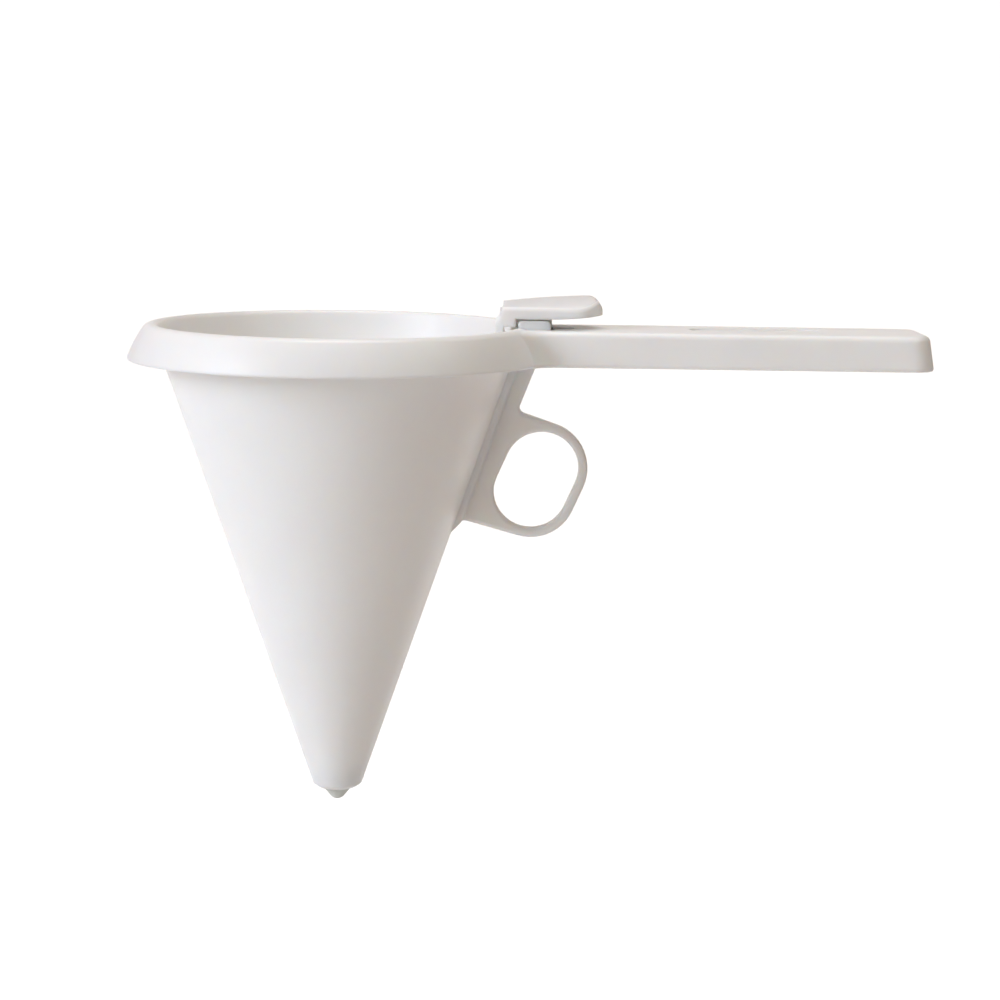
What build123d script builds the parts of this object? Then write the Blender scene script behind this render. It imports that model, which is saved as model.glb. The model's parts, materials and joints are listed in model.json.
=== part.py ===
from build123d import *
import os
from math import atan, cos, pi, radians, sin, sqrt, tan

# A hand-held piston funnel. The origin is on the funnel's axis in the plane of the rim,
# +Z is up and +X runs along the handle. All lengths are millimetres.

# Cone and rim
mouth_radius = 47.66
cone_depth = 121.6
outlet_diameter = 10.0
outlet_lip = 1.15
wall = 1.6
rim_overhang = 1.5
rim_corner_drop = 1.0
rim_depth = 8.9
rim_flare = 4.3
rim_web = 2.5
rim_outer_round = 2.0
rim_bow = 0.4
rim_inner_round = 1.05
skirt_chamfer = 0.3
outlet_chamfer = 1.0

# Handle, a tray that is open below
handle_reach = 150.4
handle_width = 29.2
handle_depth = 9.3
handle_drop = 0.38
handle_deck = 2.0
handle_draft = 8.0
handle_corner = 5.2
handle_blend = 8.0
handle_edge_round = 1.7
handle_foot_round = 0.7
hinge_block = 3.4
rib_count = 3
rib_height = 3.0
rib_thickness = 1.3
panel_start = 89.5
panel_length = 33.0
panel_width = 9.0
panel_depth = 0.45

# Guide channel down the handle side of the cone
channel_width = 6.8
channel_rise = 1.95
channel_depth = 49.8
channel_toe = 3.9
channel_round = 1.8
key_width = 2.5
key_top = 9.5
key_bottom = 45.5
groove_reach = 0.7

# Finger ring and the web that carries it
plate_thickness = 4.2
ring_band = 2.35
finger_radius = 9.5
finger_stretch = 6.7
finger_tilt = 23.9
web_meets_above = 70.0
web_meets_below = 255.0
finger_out = 16.9
finger_depth = 39.55
web_width = 5.9
web_depth = 21.8
web_corner = 1.6
web_tail = 50.2
ring_edge_round = 0.9
finger_chamfer = 0.5

# Hinge on the handle
hinge_out = 5.24
hinge_z = 0.75
hinge_pin_radius = 0.75
running_fit = 0.05
clearance = 0.35
cheek_inner = 8.0
cheek_thickness = 1.5
cheek_height = 1.95
cheek_reach = 7.0
cheek_round = 1.1
pin_cover = 0.6
ear_radius = 1.2
knuckle_radius = 1.5

# Thumb lever
pad_back = 10.8
pad_length = 25.2
pad_width = 19.0
pad_under = 2.4
pad_under_rise = 0.9
pad_edge = 5.3
pad_edge_fall = 0.85
pad_crown = 8.0
pad_crown_rise = 2.15
pad_corner = 7.5
pad_nose_round = 4.6
pad_nose_flat = 0.12
pad_under_bow = 0.45
pad_edge_chamfer = 0.6
pad_wall = 1.8
neck_thickness = 2.2
neck_back = 12.8
neck_depth = 2.2
neck_bend = 1.2
neck_bow = 0.45
neck_gap = 0.6
lug_thickness = 2.4
lug_radius = 1.9
lever_travel = 13.0

# Return spring, a torsion coil round the hinge pin
spring_wire = 0.5
wire_sides = 6
spring_coil_radius = 1.2
spring_pitch = 0.95
spring_turns = 3
spring_leg = 7.4
spring_splay = 2.5
spring_room = 0.15

# Lift rod, its link to the lever, and the stopper
link_back = 11.3
link_z = -5.2
link_pin_radius = 0.8
link_room = 0.3
rod_width = 4.4
rod_thickness = 2.0
rod_gap = 0.45
rod_top = 7.6
rod_round = 0.7
rod_bend = 2.0
head_thickness = 3.6
head_wall = 1.3
hook_depths = (15.0, 41.0)
hook_length = 5.0
hook_thickness = 1.3
hook_lip = 0.9
foot_radius = 2.6
foot_thickness = 2.6
peg_radius = 1.5
peg_length = 4.5
plug_height = 7.3
nose_length = 5.1
nose_round = 2.4
plug_chamfer = 0.5

# Values that follow from the sizes above
outlet_radius = outlet_diameter / 2
outlet_outer = outlet_radius + outlet_lip
cone_slope = (mouth_radius - outlet_outer) / cone_depth
cone_angle = atan(cone_slope)
flare_slope = rim_flare / (rim_depth - rim_corner_drop)
flare_angle = atan(flare_slope)
rim_radius = mouth_radius + rim_overhang
skirt_radius = rim_radius + rim_flare
handle_half = handle_width / 2
deck_under = handle_drop + handle_deck
finger_z = -finger_depth
finger_x = mouth_radius + cone_slope * finger_z + finger_out
hinge_x = mouth_radius + hinge_out
cheek_nose = hinge_x - cheek_reach
knuckle_half = cheek_inner - clearance
hinge_half = cheek_inner + cheek_thickness
pad_start = hinge_x - pad_back
neck_x = hinge_x - neck_back
neck_shoulder = cheek_nose - neck_gap
link_x = hinge_x - link_back
stopper_top = cone_depth - plug_height
rod_bottom = stopper_top - foot_thickness
travel = radians(lever_travel)
link_drop = hinge_z - link_z
lift = (link_back * sin(travel) + link_drop * (1 - cos(travel))) / cos(cone_angle)
link_slip = link_drop * sin(travel) - link_back * (1 - cos(travel)) + lift * sin(cone_angle)
slide_up = (sin(cone_angle), 0, cos(cone_angle))
rod_back = wall + rod_gap
rod_face = rod_back + rod_thickness
pad_half = pad_width / 2
pad_end = pad_start + pad_length
spring_half = spring_pitch * (spring_turns + 0.5) / 2
lug_inner = head_thickness / 2 + link_room
head_radius = link_pin_radius + link_room + head_wall
fork_top = link_z + head_radius + 3 * clearance


def wall_x(height, offset=0.0):
    """X of a line parallel to the cone's outer wall, offset outwards, on the handle side."""
    return mouth_radius + cone_slope * height + offset / cos(cone_angle)


def skirt_x(height, offset=0.0):
    """Radius of the rim's flared skirt, offset outwards."""
    return rim_radius - flare_slope * (height + rim_corner_drop) + offset / cos(flare_angle)


def wall_plane(depth):
    """Plane square to the wall line at a depth below the rim, local y outwards, z up the wall."""
    return Plane(origin=(wall_x(-depth), 0, -depth), x_dir=(0, -1, 0), z_dir=slide_up)


def least_gap(path):
    """Least gap between parts of the spring wire over half a turn apart, from points on its path."""
    count = 400
    points = [path @ (index / count) for index in range(count + 1)]
    apart = round(count * pi * spring_coil_radius / path.length)
    pairs = [(i, j) for i in range(count + 1) for j in range(i + apart, count + 1)]
    return min((points[i] - points[j]).length for i, j in pairs) - spring_wire


def nearest(shapes, x, y, z=0.0):
    """The shape closest to a point."""
    return shapes.sort_by_distance((x, y, z))[0]


def lies_flat(edge):
    """Whether an edge lies in one of the two flat faces of the finger plate."""
    return abs(abs(edge.center().Y) - plate_thickness / 2) < 0.001


# Cone, rolled rim and flared skirt as one revolved profile
with BuildPart() as cone_shell:
    with BuildSketch(Plane.XZ) as cone_profile:
        bore_top = (outlet_radius - wall_x(0, -wall)) / cone_slope
        with BuildLine():
            Polyline(
                (skirt_x(0), 0),
                (wall_x(0, -wall), 0),
                (outlet_radius, bore_top),
                (outlet_radius, -cone_depth),
                (outlet_outer, -cone_depth),
                (wall_x(-rim_web), -rim_web),
                (skirt_x(-rim_web, -wall), -rim_web),
                (skirt_x(-rim_depth, -wall), -rim_depth),
                (skirt_x(-rim_depth), -rim_depth),
            )
            SagittaArc((skirt_x(-rim_depth), -rim_depth), (skirt_x(0), 0), -rim_bow)
        make_face()
        chamfer(nearest(cone_profile.vertices(), skirt_x(-rim_depth), -rim_depth), skirt_chamfer)
        fillet(nearest(cone_profile.vertices(), skirt_x(0), 0), rim_outer_round)
        fillet(nearest(cone_profile.vertices(), wall_x(0, -wall), 0), rim_inner_round)
        chamfer(nearest(cone_profile.vertices(), outlet_outer, -cone_depth), outlet_chamfer)
    revolve(axis=Axis.Z)

# Handle: a drafted tray whose plan outline flows out of the round skirt
with BuildPart() as handle_tray:
    tail_x = mouth_radius - wall / 2
    for level in (-handle_depth, -handle_drop):
        inset = (level + handle_depth) * tan(radians(handle_draft))
        flank_y = handle_half - inset
        blend_y = flank_y + handle_blend
        blend_x = sqrt((skirt_x(level) + handle_blend) ** 2 - blend_y ** 2)
        meet = skirt_x(level) / (skirt_x(level) + handle_blend)
        with BuildSketch(Plane.XY.offset(level)) as handle_outline:
            with BuildLine():
                Line((handle_reach - inset, 0), (handle_reach - inset, flank_y))
                Line((handle_reach - inset, flank_y), (blend_x, flank_y))
                flow = TangentArc((blend_x, flank_y), (blend_x * meet, blend_y * meet), tangent=(-1, 0))
                Line(flow @ 1, (tail_x, 0))
                mirror(about=Plane.XZ)
            make_face()
            fillet(handle_outline.vertices().sort_by(Axis.X)[-2:], handle_corner)
    loft(ruled=True)
    deck = handle_tray.faces().sort_by(Axis.Z)[-1]
    fillet(deck.edges().filter_by(lambda e: e.center().X > blend_x), handle_edge_round)
    foot = handle_tray.faces().sort_by(Axis.Z)[0]
    fillet(foot.edges().filter_by(lambda e: e.center().X > blend_x), handle_foot_round)
    cavity_start = skirt_radius + hinge_block
    cavity_length = handle_reach - wall - cavity_start
    with BuildSketch(Plane.XY.offset(-handle_depth)):
        with Locations((cavity_start + cavity_length / 2, 0)):
            RectangleRounded(cavity_length, handle_width - 2 * wall, handle_corner - wall)
    extrude(amount=handle_depth - deck_under, taper=handle_draft, mode=Mode.SUBTRACT)
    rib_pitch = cavity_length / (rib_count + 1)
    rib_span = handle_width - 2 * wall
    with BuildSketch(Plane.XY.offset(-deck_under - rib_height)):
        with Locations((cavity_start + cavity_length / 2, 0)):
            with GridLocations(rib_pitch, 0, rib_count, 1):
                Rectangle(rib_thickness, rib_span)
    extrude(amount=rib_height + handle_deck / 2)
    with BuildSketch(Plane.XY.offset(-handle_drop)):
        with Locations((panel_start + panel_length / 2, 0)):
            SlotOverall(panel_length, panel_width)
    extrude(amount=-panel_depth, mode=Mode.SUBTRACT)

# Finger ring on its web, a flat plate in the plane of the handle
with BuildPart() as finger_ring:
    with BuildSketch(Plane.XZ) as ring_outline:
        web_foot = (wall_x(-web_depth) + web_width, -web_depth)
        lean = radians(finger_tilt)
        upper_x = finger_x + finger_stretch / 2 * sin(lean)
        upper_z = finger_z + finger_stretch / 2 * cos(lean)
        lower_x = finger_x - finger_stretch / 2 * sin(lean)
        lower_z = finger_z - finger_stretch / 2 * cos(lean)
        ring_radius = finger_radius + ring_band
        shoulder = radians(web_meets_above)
        heel = radians(web_meets_below)
        with BuildLine():
            Polyline(
                (wall_x(-rim_web, -wall / 2), -rim_web),
                (skirt_x(-rim_web, -wall / 2), -rim_web),
                (skirt_x(-rim_depth, -wall / 2), -rim_depth),
                (wall_x(-rim_depth) + web_width, -rim_depth - wall),
                web_foot,
                (upper_x + ring_radius * cos(shoulder), upper_z + ring_radius * sin(shoulder)),
                (finger_x, finger_z),
                (lower_x + ring_radius * cos(heel), lower_z + ring_radius * sin(heel)),
                (wall_x(-web_tail, channel_rise), -web_tail),
                (wall_x(-web_tail, -wall / 2), -web_tail),
                close=True,
            )
        make_face()
        with Locations((finger_x, finger_z)):
            SlotCenterToCenter(finger_stretch, 2 * ring_radius, rotation=90 - finger_tilt)
        fillet(nearest(ring_outline.vertices(), *web_foot), web_corner)
    extrude(amount=plate_thickness / 2, both=True)
    plate_edges = finger_ring.edges().filter_by(lies_flat)
    outer_edges = plate_edges.filter_by(lambda e: e.center().X > wall_x(e.center().Z) + web_width / 2)
    fillet(outer_edges, ring_edge_round)
    with BuildSketch(Plane.XZ):
        with Locations((finger_x, finger_z)):
            SlotCenterToCenter(finger_stretch, 2 * finger_radius, rotation=90 - finger_tilt)
    extrude(amount=plate_thickness, both=True, mode=Mode.SUBTRACT)
    chamfer(finger_ring.edges(Select.LAST).filter_by(lies_flat), finger_chamfer)

# Bulge of the guide channel, closed by a sloping toe
with BuildPart() as channel_bulge:
    run = (channel_depth + channel_toe - rim_web) / cos(cone_angle)
    with BuildSketch(wall_plane(channel_depth + channel_toe)) as bulge_section:
        with Locations((0, (channel_rise - wall / 2) / 2)):
            Rectangle(channel_width, channel_rise + wall / 2)
        fillet(bulge_section.vertices().sort_by(Axis.Y)[-2:], channel_round)
    extrude(amount=run)
    toe_plane = Plane(
        origin=(wall_x(-channel_depth, channel_rise), 0, -channel_depth),
        x_dir=(0, 1, 0),
        z_dir=(-1, 0, 1),
    )
    split(bisect_by=toe_plane, keep=Keep.TOP)

# Hinge cheeks that stand on the rim and the deck
with BuildPart() as hinge_cheeks:
    with BuildSketch(Plane.XZ.offset(cheek_inner)) as cheek_profile:
        with BuildLine():
            Polyline(
                (cheek_nose, -rim_web / 2),
                (cheek_nose, cheek_height),
                (hinge_x, cheek_height),
                (hinge_x + ear_radius, hinge_z),
                (hinge_x + ear_radius, -rim_web / 2),
                close=True,
            )
        make_face()
        fillet(nearest(cheek_profile.vertices(), cheek_nose, cheek_height), cheek_round)
        with Locations((hinge_x, hinge_z)):
            Circle(ear_radius)
    extrude(amount=cheek_thickness)
    mirror(about=Plane.XZ)
    with BuildSketch(Plane.XZ.offset(-hinge_half)):
        with Locations((hinge_x, hinge_z)):
            Circle(hinge_pin_radius)
    extrude(amount=2 * hinge_half - pin_cover, mode=Mode.SUBTRACT)

# Hooks inside the cone that keep the rod in its channel
with BuildPart() as rod_hooks:
    side_gap = rod_width / 2 + clearance
    hook_face = rod_face + clearance + hook_thickness
    for depth in hook_depths:
        with BuildSketch(wall_plane(depth)):
            with Locations((side_gap + hook_thickness / 2, -hook_face)):
                Rectangle(hook_thickness, hook_face - wall / 2, align=(Align.CENTER, Align.MIN))
            with Locations((side_gap - hook_lip / 2, -hook_face + hook_thickness / 2)):
                Rectangle(hook_lip, hook_thickness)
        extrude(amount=hook_length)
    mirror(about=Plane.XZ)

# Funnel body: every moulded feature above in one piece
with BuildPart() as funnel_body:
    add(cone_shell.part)
    add(handle_tray.part)
    with BuildSketch(Plane.XZ):
        with BuildLine():
            Polyline(
                (wall_x(-rim_web), -rim_web),
                (skirt_x(-rim_web, -wall), -rim_web),
                (skirt_x(-rim_depth, -wall), -rim_depth),
                (skirt_x(-rim_depth, -wall), -2 * rim_depth),
                (wall_x(-2 * rim_depth), -2 * rim_depth),
                close=True,
            )
        make_face()
    revolve(axis=Axis.Z, mode=Mode.SUBTRACT)
    add(finger_ring.part)
    add(channel_bulge.part)
    add(hinge_cheeks.part)
    add(rod_hooks.part)
    groove_top = key_top - lift * cos(cone_angle) - clearance
    groove_bottom = key_bottom + clearance
    with BuildSketch(wall_plane(groove_bottom)):
        with Locations((0, (groove_reach - rod_back) / 2)):
            Rectangle(key_width + 2 * clearance, groove_reach + rod_back)
    extrude(amount=(groove_bottom - groove_top) / cos(cone_angle), mode=Mode.SUBTRACT)
    well_half = knuckle_radius + clearance
    with BuildSketch(Plane.XY):
        with Locations((hinge_x, 0)):
            Rectangle(2 * well_half, 2 * cheek_inner)
    extrude(amount=hinge_z - well_half, mode=Mode.SUBTRACT)
    leg_floor = hinge_z - spring_coil_radius - spring_wire / 2 - running_fit
    leg_end = hinge_x + spring_leg + clearance
    with BuildSketch(Plane.XY):
        with Locations(((hinge_x + leg_end) / 2, -spring_half)):
            Rectangle(leg_end - hinge_x, spring_wire + 2 * spring_room)
    extrude(amount=leg_floor, mode=Mode.SUBTRACT)

# Thumb lever: crowned pad, neck over the rim, knuckles and link lugs
with BuildPart() as thumb_lever:
    lever_floor = -2 * neck_depth
    lever_roof = pad_crown + neck_depth
    loft_half = pad_half + pad_wall
    nose_x = pad_end + pad_nose_flat
    for share in (0.0, 0.5, 1.0):
        crown = pad_crown - pad_crown_rise * (1 - share) ** 2
        edge = pad_edge - pad_edge_fall * share
        brim = crown - (crown - edge) * (loft_half / pad_half) ** 2
        station = (1 - share) * (neck_x - neck_bend) + share * (pad_end + neck_bend)
        with BuildSketch(Plane.YZ.offset(station)):
            with BuildLine():
                ThreePointArc((-loft_half, brim), (0, crown), (loft_half, brim))
                Polyline(
                    (loft_half, brim),
                    (loft_half, lever_floor),
                    (-loft_half, lever_floor),
                    (-loft_half, brim),
                )
            make_face()
    loft()
    with BuildSketch(Plane.XY.offset(lever_floor - neck_depth)) as lever_plan:
        with Locations((pad_end, 0)):
            Rectangle(pad_end - neck_x + neck_bend / 2, pad_width, align=(Align.MAX, Align.CENTER))
        fillet(lever_plan.vertices().sort_by(Axis.X)[-2:], pad_corner)
    extrude(amount=lever_roof - lever_floor + 2 * neck_depth, mode=Mode.INTERSECT)
    pad_rim = thumb_lever.edges().filter_by(lambda e: e.center().Z > pad_under and e.center().X > neck_x)
    chamfer(pad_rim, pad_edge_chamfer)
    with BuildSketch(Plane.XZ.offset(-pad_width)):
        with BuildLine():
            underside = SagittaArc(
                (neck_shoulder, pad_under),
                (nose_x, pad_under + pad_under_rise),
                -pad_under_bow,
            )
            Line(underside @ 1, (nose_x, pad_crown - pad_nose_round))
            nose = JernArc((nose_x, pad_crown - pad_nose_round), (0, 1), pad_nose_round, 90)
            Polyline(
                nose @ 1,
                (nose_x - pad_nose_round, lever_roof),
                (pad_start, lever_roof),
                (pad_start, pad_edge + pad_edge_chamfer),
            )
            SagittaArc((pad_start, pad_edge + pad_edge_chamfer), (neck_x, neck_bend), neck_bow)
            Polyline(
                (neck_x, neck_bend),
                (neck_x, -neck_depth),
                (neck_x + neck_thickness, -neck_depth),
                (neck_x + neck_thickness, clearance),
                (neck_shoulder, clearance),
                underside @ 0,
            )
        make_face()
    extrude(amount=2 * pad_width, mode=Mode.INTERSECT)
    pocket_start = hinge_x + ear_radius + pad_wall
    pocket_length = pad_end - 1.5 * pad_wall - pocket_start
    pocket_width = pad_half - 1.5 * pad_wall
    with BuildSketch(Plane.XY.offset(pad_under - pad_wall)):
        with Locations((pocket_start + pocket_length / 2, 0)):
            with GridLocations(0, pocket_width + pad_wall, 1, 2):
                RectangleRounded(pocket_length, pocket_width, pad_wall)
    extrude(amount=pad_edge - pad_under, mode=Mode.SUBTRACT)
    with BuildSketch(Plane.XZ):
        with Locations((hinge_x, hinge_z)):
            Circle(knuckle_radius)
        with BuildLine():
            Polyline(
                (neck_x + neck_thickness / 2, clearance),
                (hinge_x, clearance),
                (hinge_x + knuckle_radius, hinge_z),
                (hinge_x + knuckle_radius, pad_under + pad_wall),
                (neck_x + neck_thickness / 2, pad_under + pad_wall),
                close=True,
            )
        make_face()
    extrude(amount=knuckle_half, both=True)
    with BuildSketch(Plane.XZ):
        with Locations((link_x, link_z)):
            Circle(lug_radius)
        with BuildLine():
            Polyline(
                (link_x - lug_radius, link_z),
                (link_x + lug_radius, link_z),
                (neck_x + neck_thickness, -neck_depth / 2),
                (neck_x, -neck_depth / 2),
                close=True,
            )
        make_face()
    extrude(amount=lug_inner + lug_thickness, both=True)
    with BuildSketch(Plane.XZ):
        with Locations((link_x, fork_top)):
            Rectangle(4 * lug_radius, 4 * lug_radius, align=(Align.CENTER, Align.MAX))
    extrude(amount=lug_inner, both=True, mode=Mode.SUBTRACT)
    with BuildSketch(Plane.XZ):
        with Locations((link_x, link_z)):
            Circle(link_pin_radius)
        with Locations((hinge_x, hinge_z)):
            Circle(hinge_pin_radius + running_fit)
    extrude(amount=pad_width, both=True, mode=Mode.SUBTRACT)
    coil_room = spring_coil_radius + spring_wire / 2 + clearance
    with BuildSketch(Plane.XZ):
        with Locations((hinge_x, hinge_z)):
            Circle(coil_room)
            Rectangle(coil_room, coil_room, align=(Align.MIN, Align.MIN))
    extrude(amount=spring_half + spring_wire / 2 + clearance, both=True, mode=Mode.SUBTRACT)

# Hinge pin, fixed in the two ears and pushed in from the far one
with BuildPart() as lever_pin:
    with BuildSketch(Plane.XZ.offset(-hinge_half)):
        with Locations((hinge_x, hinge_z)):
            Circle(hinge_pin_radius)
    extrude(amount=2 * hinge_half - pin_cover)

# Link pin, fixed in the two lugs
with BuildPart() as link_pin:
    with BuildSketch(Plane.XZ):
        with Locations((link_x, link_z)):
            Circle(link_pin_radius)
    extrude(amount=lug_inner + lug_thickness, both=True)

# Return spring: two legs and a coil round the hinge pin, one unbroken tube
with BuildPart() as return_spring:
    with BuildLine() as spring_path:
        last = Line(
            (hinge_x + spring_leg, -spring_half, hinge_z - spring_coil_radius),
            (hinge_x, -spring_half, hinge_z - spring_coil_radius),
        )
        halves = 2 * spring_turns + 1
        winding = pi * halves - radians(spring_splay)
        for half in range(1, halves + 1):
            turn = winding * half / halves
            along = spring_half * (2 * half / halves - 1)
            point = (
                hinge_x - spring_coil_radius * sin(turn),
                along,
                hinge_z - spring_coil_radius * cos(turn),
            )
            last = TangentArc(last @ 1, point, tangent=last % 1)
        rise = spring_leg * tan(radians(spring_splay))
        Line(last @ 1, (last @ 1) + Vector(spring_leg, 0, rise))
    with BuildSketch(Plane(origin=spring_path.line @ 0, z_dir=spring_path.line % 0)):
        RegularPolygon(spring_wire / 2, wire_sides)
    sweep(path=spring_path.line)

# Lift rod: slotted head, strip with its key, and the foot with its peg
with BuildPart() as lift_rod:
    with BuildSketch(Plane.XZ) as rod_side:
        with BuildLine():
            Polyline(
                (wall_x(-rod_top, -rod_back), -rod_top),
                (wall_x(-stopper_top, -rod_back), -stopper_top),
                (0, -stopper_top),
                (0, -rod_bottom),
                (wall_x(-rod_bottom, -rod_face), -rod_bottom),
                (wall_x(-rod_top, -rod_face), -rod_top),
                close=True,
            )
        make_face()
        fillet(nearest(rod_side.vertices(), wall_x(-rod_bottom, -rod_face), -rod_bottom), rod_bend)
    extrude(amount=rod_width / 2, both=True)
    back_edges = lift_rod.edges().filter_by(lambda e: e.length > rod_bottom - rod_top)
    fillet(back_edges.sort_by(Axis.X)[-2:], rod_round)
    with BuildSketch(Plane.XY.offset(-stopper_top)):
        Circle(foot_radius)
    extrude(amount=stopper_top - rod_bottom)
    with BuildSketch(Plane.XY.offset(-stopper_top)):
        Circle(peg_radius)
    extrude(amount=-peg_length)
    with BuildSketch(Plane.XZ):
        with Locations((link_x - link_slip / 2, link_z)):
            SlotCenterToCenter(link_slip, 2 * head_radius)
        with BuildLine():
            Polyline(
                (link_x - link_slip - head_radius, link_z),
                (link_x, link_z),
                (wall_x(-rod_top, -rod_back), -rod_top - rod_thickness),
                (wall_x(-rod_top, -rod_face), -rod_top - rod_thickness),
                close=True,
            )
        make_face()
        with BuildLine():
            Polyline(
                (wall_x(0, -rod_back), 0),
                (wall_x(0), 0),
                (wall_x(-2 * rod_top), -2 * rod_top),
                (wall_x(-2 * rod_top, -rod_back), -2 * rod_top),
                close=True,
            )
        make_face(mode=Mode.SUBTRACT)
    extrude(amount=head_thickness / 2, both=True)
    with BuildSketch(Plane.XZ):
        with Locations((link_x - link_slip / 2, link_z)):
            SlotCenterToCenter(link_slip, 2 * (link_pin_radius + link_room))
    extrude(amount=rod_width, both=True, mode=Mode.SUBTRACT)
    with BuildSketch(wall_plane(key_bottom)):
        with Locations((0, (groove_reach - clearance - rod_back - rod_round) / 2)):
            Rectangle(key_width, groove_reach - clearance + rod_back + rod_round)
    extrude(amount=(key_bottom - key_top) / cos(cone_angle))

# Stopper: a plug that fills the bottom of the cone and shows its nose below the outlet
with BuildPart() as stopper_plug:
    with BuildSketch(Plane.XZ) as plug_profile:
        plug_bottom = wall_x(-cone_depth, -wall - clearance)
        plug_radius = wall_x(-stopper_top, -wall - clearance)
        with BuildLine():
            Polyline(
                (0, -cone_depth - nose_length),
                (plug_bottom, -cone_depth),
                (plug_radius, -stopper_top),
                (-plug_radius, -stopper_top),
                (-plug_bottom, -cone_depth),
                close=True,
            )
        make_face()
        fillet(nearest(plug_profile.vertices(), 0, -cone_depth - nose_length), nose_round)
        chamfer(nearest(plug_profile.vertices(), plug_radius, -stopper_top), plug_chamfer)
        with Locations((0, -cone_depth)):
            Rectangle(plug_radius, cone_depth, align=(Align.MIN, Align.CENTER), mode=Mode.INTERSECT)
    revolve(axis=Axis.Z)
    with Locations((0, 0, -stopper_top)):
        Hole(peg_radius, peg_length)

print(f"least gap of the spring to itself {least_gap(spring_path.wires()[0]):.2f} mm")

funnel_body.part.label = "funnel_body"
thumb_lever.part.label = "thumb_lever"
lever_pin.part.label = "lever_pin"
return_spring.part.label = "return_spring"
lift_rod.part.label = "lift_rod"
link_pin.part.label = "link_pin"
stopper_plug.part.label = "stopper_plug"

os.makedirs("parts", exist_ok=True)
export_step(funnel_body.part, "parts/funnel_body.step")
export_step(thumb_lever.part, "parts/thumb_lever.step")
export_step(lever_pin.part, "parts/lever_pin.step")
export_step(return_spring.part, "parts/return_spring.step")
export_step(lift_rod.part, "parts/lift_rod.step")
export_step(link_pin.part, "parts/link_pin.step")
export_step(stopper_plug.part, "parts/stopper_plug.step")
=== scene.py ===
import json
from math import cos, pi, radians, sin, tan

import bmesh
import bpy
from mathutils import Matrix, Vector


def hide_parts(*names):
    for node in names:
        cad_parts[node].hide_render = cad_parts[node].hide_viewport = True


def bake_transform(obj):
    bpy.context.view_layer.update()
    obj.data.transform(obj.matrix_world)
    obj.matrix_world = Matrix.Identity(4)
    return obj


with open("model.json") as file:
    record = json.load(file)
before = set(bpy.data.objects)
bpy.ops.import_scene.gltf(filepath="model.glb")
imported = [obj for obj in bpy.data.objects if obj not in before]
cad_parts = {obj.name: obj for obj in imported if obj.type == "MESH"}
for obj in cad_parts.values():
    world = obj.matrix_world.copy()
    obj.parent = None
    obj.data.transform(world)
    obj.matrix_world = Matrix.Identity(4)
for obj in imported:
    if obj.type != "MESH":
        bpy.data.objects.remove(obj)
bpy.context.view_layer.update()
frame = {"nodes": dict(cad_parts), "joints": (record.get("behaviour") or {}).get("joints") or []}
nodes = frame["nodes"]

# Detail of the surfaces, as noise scales in waves a metre
cloud_scale = 45
sink_scale = 110
gloss_scale = 260
grain_scale = 3800
# Noise scale of the painted shade on the lever's upward faces
top_shade_noise_scale = 90
steel_patch_scale = 900
steel_line_scale = 2500
steel_line_stretch = (1, 0.06, 1)
silicone_cloud_scale = 320
silicone_gloss_scale = 1400
silicone_grain_scale = 2600
paint_scale = 3

# Relief of the surfaces: strength, and height in metres
sink_relief = (0.25, 0.00012)
grain_relief = (0.12, 0.00003)
steel_relief = (0.2, 0.00002)
silicone_relief = (0.2, 0.00003)

# The values that a noise seldom leaves
noise_low = 0.3
noise_high = 0.7

# Rays at each point that look for an edge to round in the shading
edge_samples = 6

# How far up a face looks, as its normal's Z, where the painted shade on upward faces begins and is full
top_shade_begins = 0.6
top_shade_full = 0.88

# Return spring, in metres
wire_radius = 0.00025
wire_roundness = 4
coil_radius = 0.0012
coil_half = 0.001662
spring_leg = 0.0072
leg_splay = radians(2.5)
half_turns = 7
coil_steps = 168

# Camera, at the photograph's place and angle
camera_place = Vector((0.04538, -0.5612, 0.04366))
camera_pitch = radians(8.982)
camera_yaw = radians(-0.359)
camera_roll = radians(0.759)
camera_lens = 79.23
camera_sensor = 36
camera_clip = 0.01

# Studio floor that bends up into a wall, in metres
floor_z = -0.32
floor_front = -1.0
floor_half = 0.85
bend_start = 1.2
bend_radius = 1.2
bend_steps = 12
wall_top = 4.0

# Glow of the floor and the wall, which grows with Y and fades with Z
glow_begins_y = 0.1
glow_full_y = 0.38
glow_full_z = 0.3
glow_ends_z = 0.5
glow_strength = 0.72

# Light from all round, and the walls that only the camera sees
air_colour = (1.0, 0.70, 0.50, 1)
air_strength = 0.21
walls_colour = (1.0, 1.0, 1.0, 1)
walls_strength = 0.88

# Soft lamps, as name, place, power in watts and colour; all have one size and face one point
lamp_size = 0.8
lamp_aim = Vector((0.03, 0, -0.04))
lamps = (
    ("key_left", (-1.164, -0.672, 0.543), 12.5, (0.79, 0.84, 0.96)),
    ("front_left", (-0.75, -1.1, 0.25), 3.4, (0.88, 1.0, 1.0)),
    ("overhead", (0.0, 0.1, 1.35), 8.0, (1.0, 0.95, 0.95)),
    ("upper_right", (0.75, -0.2, 1.1), 2.9, (0.8, 1.0, 1.0)),
)


# Materials: every one is built from noise, so no surface is one flat colour

def new_material(name):
    """A material, its node tree, its shader and a node that gives places on the object."""
    material = bpy.data.materials.new(name)
    material.use_nodes = True
    tree = material.node_tree
    shader = tree.nodes["Principled BSDF"]
    place = tree.nodes.new("ShaderNodeTexCoord")
    return material, tree, shader, place


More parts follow.
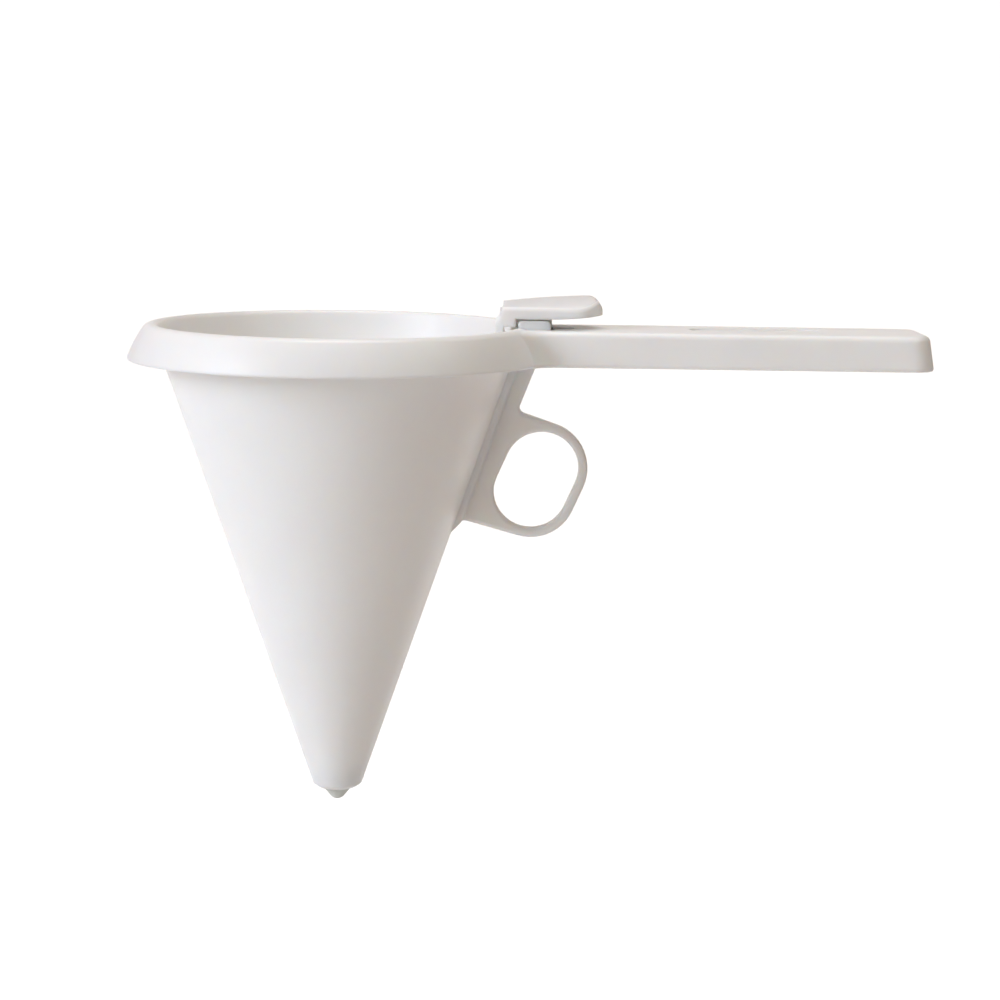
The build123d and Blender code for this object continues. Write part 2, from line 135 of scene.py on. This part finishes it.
def noise(tree, place, scale, detail, stretch=(1, 1, 1)):
    """Noise of a scale in waves a metre, with a number of finer layers."""
    mapping = tree.nodes.new("ShaderNodeMapping")
    mapping.inputs["Scale"].default_value = stretch
    texture = tree.nodes.new("ShaderNodeTexNoise")
    texture.inputs["Scale"].default_value = scale
    texture.inputs["Detail"].default_value = detail
    tree.links.new(place.outputs["Object"], mapping.inputs["Vector"])
    tree.links.new(mapping.outputs["Vector"], texture.inputs["Vector"])
    return texture.outputs["Fac"]


def ranged(tree, value, start, end, low, high):
    """A value that goes from start to end, brought to the range from low to high."""
    ramp = tree.nodes.new("ShaderNodeMapRange")
    ramp.inputs["From Min"].default_value = start
    ramp.inputs["From Max"].default_value = end
    ramp.inputs["To Min"].default_value = low
    ramp.inputs["To Max"].default_value = high
    tree.links.new(value, ramp.inputs["Value"])
    return ramp.outputs["Result"]


def spread(tree, value, low, high):
    """A noise brought to the range from low to high."""
    return ranged(tree, value, noise_low, noise_high, low, high)


def tint(tree, value, colours):
    """A colour between two, as a noise says."""
    mix = tree.nodes.new("ShaderNodeMix")
    mix.data_type = "RGBA"
    mix.inputs["A"].default_value = (*colours[0], 1)
    mix.inputs["B"].default_value = (*colours[1], 1)
    tree.links.new(spread(tree, value, 0, 1), mix.inputs["Factor"])
    return mix.outputs["Result"]


def relief(tree, shader, value, strength_and_height, below=None):
    """Relief from a noise, over the normals that come from below it."""
    strength, height = strength_and_height
    bump = tree.nodes.new("ShaderNodeBump")
    bump.inputs["Strength"].default_value = strength
    bump.inputs["Distance"].default_value = height
    tree.links.new(value, bump.inputs["Height"])
    if below is not None:
        tree.links.new(below, bump.inputs["Normal"])
    tree.links.new(bump.outputs["Normal"], shader.inputs["Normal"])
    return bump.outputs["Normal"]


def glow_inside(shader, weight, radius, depth):
    """Light that enters the plastic and comes out again a little farther on."""
    shader.inputs["Subsurface Weight"].default_value = weight
    shader.inputs["Subsurface Radius"].default_value = radius
    shader.inputs["Subsurface Scale"].default_value = depth


def moulded(name, colours, roughness, edge):
    """Satin plastic: slow cloudiness, uneven gloss, edges a little round, faint sinks and a fine grain."""
    material, tree, shader, place = new_material(name)
    colour = tint(tree, noise(tree, place, cloud_scale, 3), colours)
    tree.links.new(colour, shader.inputs["Base Color"])
    gloss = spread(tree, noise(tree, place, gloss_scale, 5), *roughness)
    tree.links.new(gloss, shader.inputs["Roughness"])
    soft_edges = tree.nodes.new("ShaderNodeBevel")
    soft_edges.samples = edge_samples
    soft_edges.inputs["Radius"].default_value = edge
    sink_noise = noise(tree, place, sink_scale, 2)
    sinks = relief(tree, shader, sink_noise, sink_relief, below=soft_edges.outputs["Normal"])
    relief(tree, shader, noise(tree, place, grain_scale, 2), grain_relief, below=sinks)
    shader.inputs["IOR"].default_value = 1.5
    shader.inputs["Specular IOR Level"].default_value = 0.5
    glow_inside(shader, 0.75, (1.0, 0.8, 0.65), 0.003)
    return material


def shade_painted_on_top(material, colours):
    """Painted shade: faces that look up get a greyer colour than the sides, standing in for how the light
    falls on them.
    """
    tree = material.node_tree
    base = tree.nodes["Principled BSDF"].inputs["Base Color"]
    fresh = base.links[0].from_socket
    place = tree.nodes.new("ShaderNodeTexCoord")
    parts = tree.nodes.new("ShaderNodeSeparateXYZ")
    tree.links.new(place.outputs["Normal"], parts.inputs["Vector"])
    facing_up = ranged(tree, parts.outputs["Z"], top_shade_begins, top_shade_full, 0, 1)
    mix = tree.nodes.new("ShaderNodeMix")
    mix.data_type = "RGBA"
    tree.links.new(facing_up, mix.inputs["Factor"])
    tree.links.new(fresh, mix.inputs["A"])
    tree.links.new(tint(tree, noise(tree, place, top_shade_noise_scale, 4), colours), mix.inputs["B"])
    tree.links.new(mix.outputs["Result"], base)


def drawn_steel(name, colours, roughness):
    """Drawn steel: fine lines along Y and a patchy sheen."""
    material, tree, shader, place = new_material(name)
    shader.inputs["Metallic"].default_value = 1.0
    colour = tint(tree, noise(tree, place, steel_patch_scale, 3), colours)
    tree.links.new(colour, shader.inputs["Base Color"])
    lines = noise(tree, place, steel_line_scale, 3, stretch=steel_line_stretch)
    tree.links.new(spread(tree, lines, *roughness), shader.inputs["Roughness"])
    relief(tree, shader, lines, steel_relief)
    return material


def silicone(name, colours, roughness):
    """Soft grey silicone: cloudy and matt, with a fine grain."""
    material, tree, shader, place = new_material(name)
    colour = tint(tree, noise(tree, place, silicone_cloud_scale, 4), colours)
    tree.links.new(colour, shader.inputs["Base Color"])
    gloss = spread(tree, noise(tree, place, silicone_gloss_scale, 4), *roughness)
    tree.links.new(gloss, shader.inputs["Roughness"])
    relief(tree, shader, noise(tree, place, silicone_grain_scale, 3), silicone_relief)
    glow_inside(shader, 0.25, (1.0, 0.95, 0.9), 0.0015)
    return material


body_plastic = moulded("body_plastic", ((0.865, 0.865, 0.86), (0.885, 0.885, 0.88)), (0.34, 0.46), 0.001)
lever_white = ((0.955, 0.953, 0.948), (0.975, 0.973, 0.968))
lever_plastic = moulded("lever_plastic", lever_white, (0.30, 0.42), 0.001)
# Painted shade: the lever's upward faces are given a greyer colour than its sides
shade_painted_on_top(lever_plastic, ((0.79, 0.79, 0.79), (0.83, 0.83, 0.83)))
rod_plastic = moulded("rod_plastic", ((0.84, 0.84, 0.83), (0.87, 0.87, 0.86)), (0.36, 0.48), 0.0006)
steel = drawn_steel("drawn_steel", ((0.50, 0.51, 0.53), (0.66, 0.67, 0.68)), (0.24, 0.42))
stopper = silicone("stopper_silicone", ((0.58, 0.60, 0.56), (0.68, 0.70, 0.66)), (0.45, 0.6))

finishes = {
    "funnel_body": body_plastic,
    "thumb_lever": lever_plastic,
    "lift_rod": rod_plastic,
    "stopper_plug": stopper,
    "lever_pin": steel,
    "link_pin": steel,
    "return_spring": steel,
}
for name, material in finishes.items():
    for slot in nodes[name].material_slots:
        slot.material = material


# Return spring: a smooth wire round the hinge pin

def wire_along(name, points, radius):
    """A round wire with closed ends through the given points, as a mesh."""
    curve = bpy.data.curves.new(name + "_line", "CURVE")
    curve.dimensions = "3D"
    curve.bevel_depth = radius
    curve.bevel_resolution = wire_roundness
    curve.use_fill_caps = True
    spline = curve.splines.new("POLY")
    spline.points.add(len(points) - 1)
    for spot, point in zip(spline.points, points):
        spot.co = (*point, 1)
    line = bpy.data.objects.new(name + "_line", curve)
    bpy.context.collection.objects.link(line)
    bpy.context.view_layer.update()
    evaluated = line.evaluated_get(bpy.context.evaluated_depsgraph_get())
    mesh = bpy.data.meshes.new_from_object(evaluated)
    bpy.data.objects.remove(line)
    for face in mesh.polygons:
        face.use_smooth = True
    wire = bpy.data.objects.new(name, mesh)
    bpy.context.collection.objects.link(wire)
    return wire


def torsion_spring():
    """Two legs and a coil round the hinge pin, made in place of the spring part, which is hidden."""
    lever_joint = next(joint for joint in frame["joints"] if joint["name"] == "lever_press")
    hinge = Vector(lever_joint["pos_m"])
    winding = half_turns * pi - leg_splay
    points = [hinge + Vector((spring_leg, -coil_half, -coil_radius))]
    for step in range(coil_steps + 1):
        turn = winding * step / coil_steps
        along = coil_half * (2 * step / coil_steps - 1)
        points.append(hinge + Vector((-coil_radius * sin(turn), along, -coil_radius * cos(turn))))
    points.append(points[-1] + Vector((spring_leg, 0, spring_leg * tan(leg_splay))))
    wire = wire_along("torsion_spring", points, wire_radius)
    wire.data.materials.append(steel)
    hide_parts("return_spring")
    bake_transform(wire)


torsion_spring()


# Camera

def photo_camera():
    """The camera at the photograph's place, turned by its yaw, pitch and roll."""
    forward = Vector((
        sin(camera_yaw) * cos(camera_pitch),
        cos(camera_yaw) * cos(camera_pitch),
        -sin(camera_pitch),
    ))
    level = Vector((cos(camera_yaw), -sin(camera_yaw), 0))
    upright = level.cross(forward)
    right = cos(camera_roll) * level + sin(camera_roll) * upright
    up = cos(camera_roll) * upright - sin(camera_roll) * level
    data = bpy.data.cameras.new("camera")
    data.lens = camera_lens
    data.sensor_width = camera_sensor
    data.clip_start = camera_clip
    camera = bpy.data.objects.new("camera", data)
    axes = Matrix((right, up, -forward)).transposed()
    camera.matrix_world = Matrix.Translation(camera_place) @ axes.to_4x4()
    bpy.context.collection.objects.link(camera)
    return camera


bpy.context.scene.camera = photo_camera()


# Studio: a pale floor that curves up into a glowing wall, and soft lamps round the front

def floor_paint():
    """Pale matt paint that glows where it is far back and low, as a lit backdrop does."""
    material, tree, shader, place = new_material("floor_paint")
    paint = tint(tree, noise(tree, place, paint_scale, 2), ((0.84, 0.84, 0.84), (0.86, 0.86, 0.86)))
    tree.links.new(paint, shader.inputs["Base Color"])
    shader.inputs["Roughness"].default_value = 0.9
    shader.inputs["Emission Color"].default_value = (1, 1, 1, 1)
    across = tree.nodes.new("ShaderNodeSeparateXYZ")
    tree.links.new(place.outputs["Object"], across.inputs["Vector"])
    backlight = ranged(tree, across.outputs["Y"], glow_begins_y, glow_full_y, 0, glow_strength)
    fade = ranged(tree, across.outputs["Z"], glow_ends_z, glow_full_z, 0, 1)
    glow = tree.nodes.new("ShaderNodeMath")
    glow.operation = "MULTIPLY"
    tree.links.new(backlight, glow.inputs[0])
    tree.links.new(fade, glow.inputs[1])
    tree.links.new(glow.outputs["Value"], shader.inputs["Emission Strength"])
    return material


def sweep_floor():
    """One sheet: the floor, a quarter bend and the wall behind the object."""
    mesh = bpy.data.meshes.new("studio_floor")
    surface = bmesh.new()
    profile = [(floor_front, floor_z), (bend_start, floor_z)]
    for step in range(1, bend_steps + 1):
        turn = step / bend_steps * pi / 2
        profile.append((bend_start + bend_radius * sin(turn), floor_z + bend_radius * (1 - cos(turn))))
    profile.append((bend_start + bend_radius, wall_top))
    rows = [[surface.verts.new((x, y, z)) for y, z in profile] for x in (-floor_half, floor_half)]
    for index in range(len(profile) - 1):
        surface.faces.new((rows[0][index], rows[1][index], rows[1][index + 1], rows[0][index + 1]))
    surface.to_mesh(mesh)
    surface.free()
    for face in mesh.polygons:
        face.use_smooth = True
    floor = bpy.data.objects.new("studio_floor", mesh)
    bpy.context.collection.objects.link(floor)
    mesh.materials.append(floor_paint())
    return floor


def area_light(name, place, power, colour):
    """A round soft lamp turned to the object."""
    data = bpy.data.lights.new(name, "AREA")
    data.shape = "DISK"
    data.size = lamp_size
    data.energy = power
    data.color = colour
    light = bpy.data.objects.new(name, data)
    light.location = place
    light.rotation_euler = (lamp_aim - Vector(place)).to_track_quat("-Z", "Y").to_euler()
    bpy.context.collection.objects.link(light)


def studio_world():
    """A weak warm light from all round, behind pale studio walls."""
    world = bpy.data.worlds.new("studio")
    world.use_nodes = True
    tree = world.node_tree
    warm_air = tree.nodes["Background"]
    warm_air.inputs["Color"].default_value = air_colour
    warm_air.inputs["Strength"].default_value = air_strength
    walls = tree.nodes.new("ShaderNodeBackground")
    walls.inputs["Color"].default_value = walls_colour
    walls.inputs["Strength"].default_value = walls_strength
    path = tree.nodes.new("ShaderNodeLightPath")
    mix = tree.nodes.new("ShaderNodeMixShader")
    tree.links.new(path.outputs["Is Camera Ray"], mix.inputs["Fac"])
    tree.links.new(warm_air.outputs["Background"], mix.inputs[1])
    tree.links.new(walls.outputs["Background"], mix.inputs[2])
    tree.links.new(mix.outputs["Shader"], tree.nodes["World Output"].inputs["Surface"])
    bpy.context.scene.world = world


sweep_floor()
for lamp in lamps:
    area_light(*lamp)
studio_world()
bpy.context.scene.view_settings.view_transform = "Standard"
